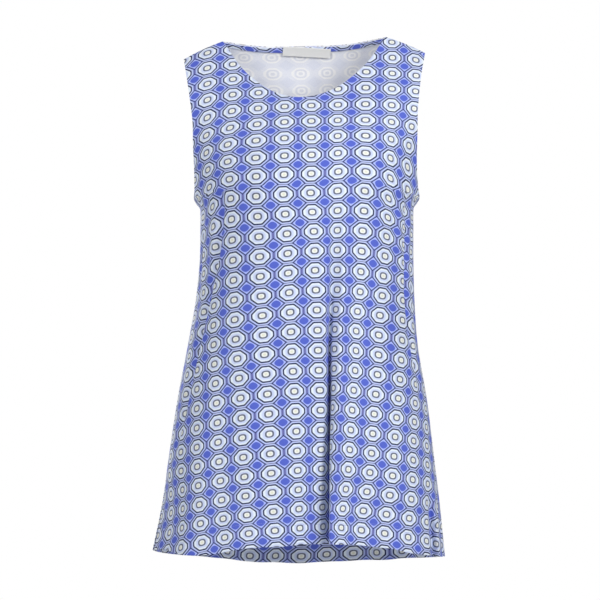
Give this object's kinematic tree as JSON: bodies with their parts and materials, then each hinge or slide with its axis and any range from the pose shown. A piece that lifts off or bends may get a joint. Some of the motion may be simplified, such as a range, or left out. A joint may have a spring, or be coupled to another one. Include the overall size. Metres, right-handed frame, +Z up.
{
  "type": "sleeveless top",
  "caption": "Sleeveless A-line jersey top as worn, with a scoop neck, a high back neck, open armholes, one deep front fold, a longer back hem and a small geometric print.",
  "frame": {"origin": "midway between the shoulders, where they carry the garment, at the height of the shoulder seams", "axes": "+Z up the garment, +X to the right as the front is seen, the front faces -Y"},
  "size_m": [0.412, 0.2446, 0.7541],
  "materials": {
    "printed_jersey": "soft matt jersey, printed on its outer side",
    "printed_jersey_turned": "the same jersey turned in, its printed side towards the inside of the garment",
    "woven_label": "smooth woven ribbon, bare"
  },
  "bodies": {
    "root": {"front": "printed_jersey", "back": "printed_jersey", "hem_turnup_front": "printed_jersey_turned", "hem_turnup_back": "printed_jersey_turned", "neck_band_back": "printed_jersey_turned", "label": "woven_label"}
  },
  "joints": []
}
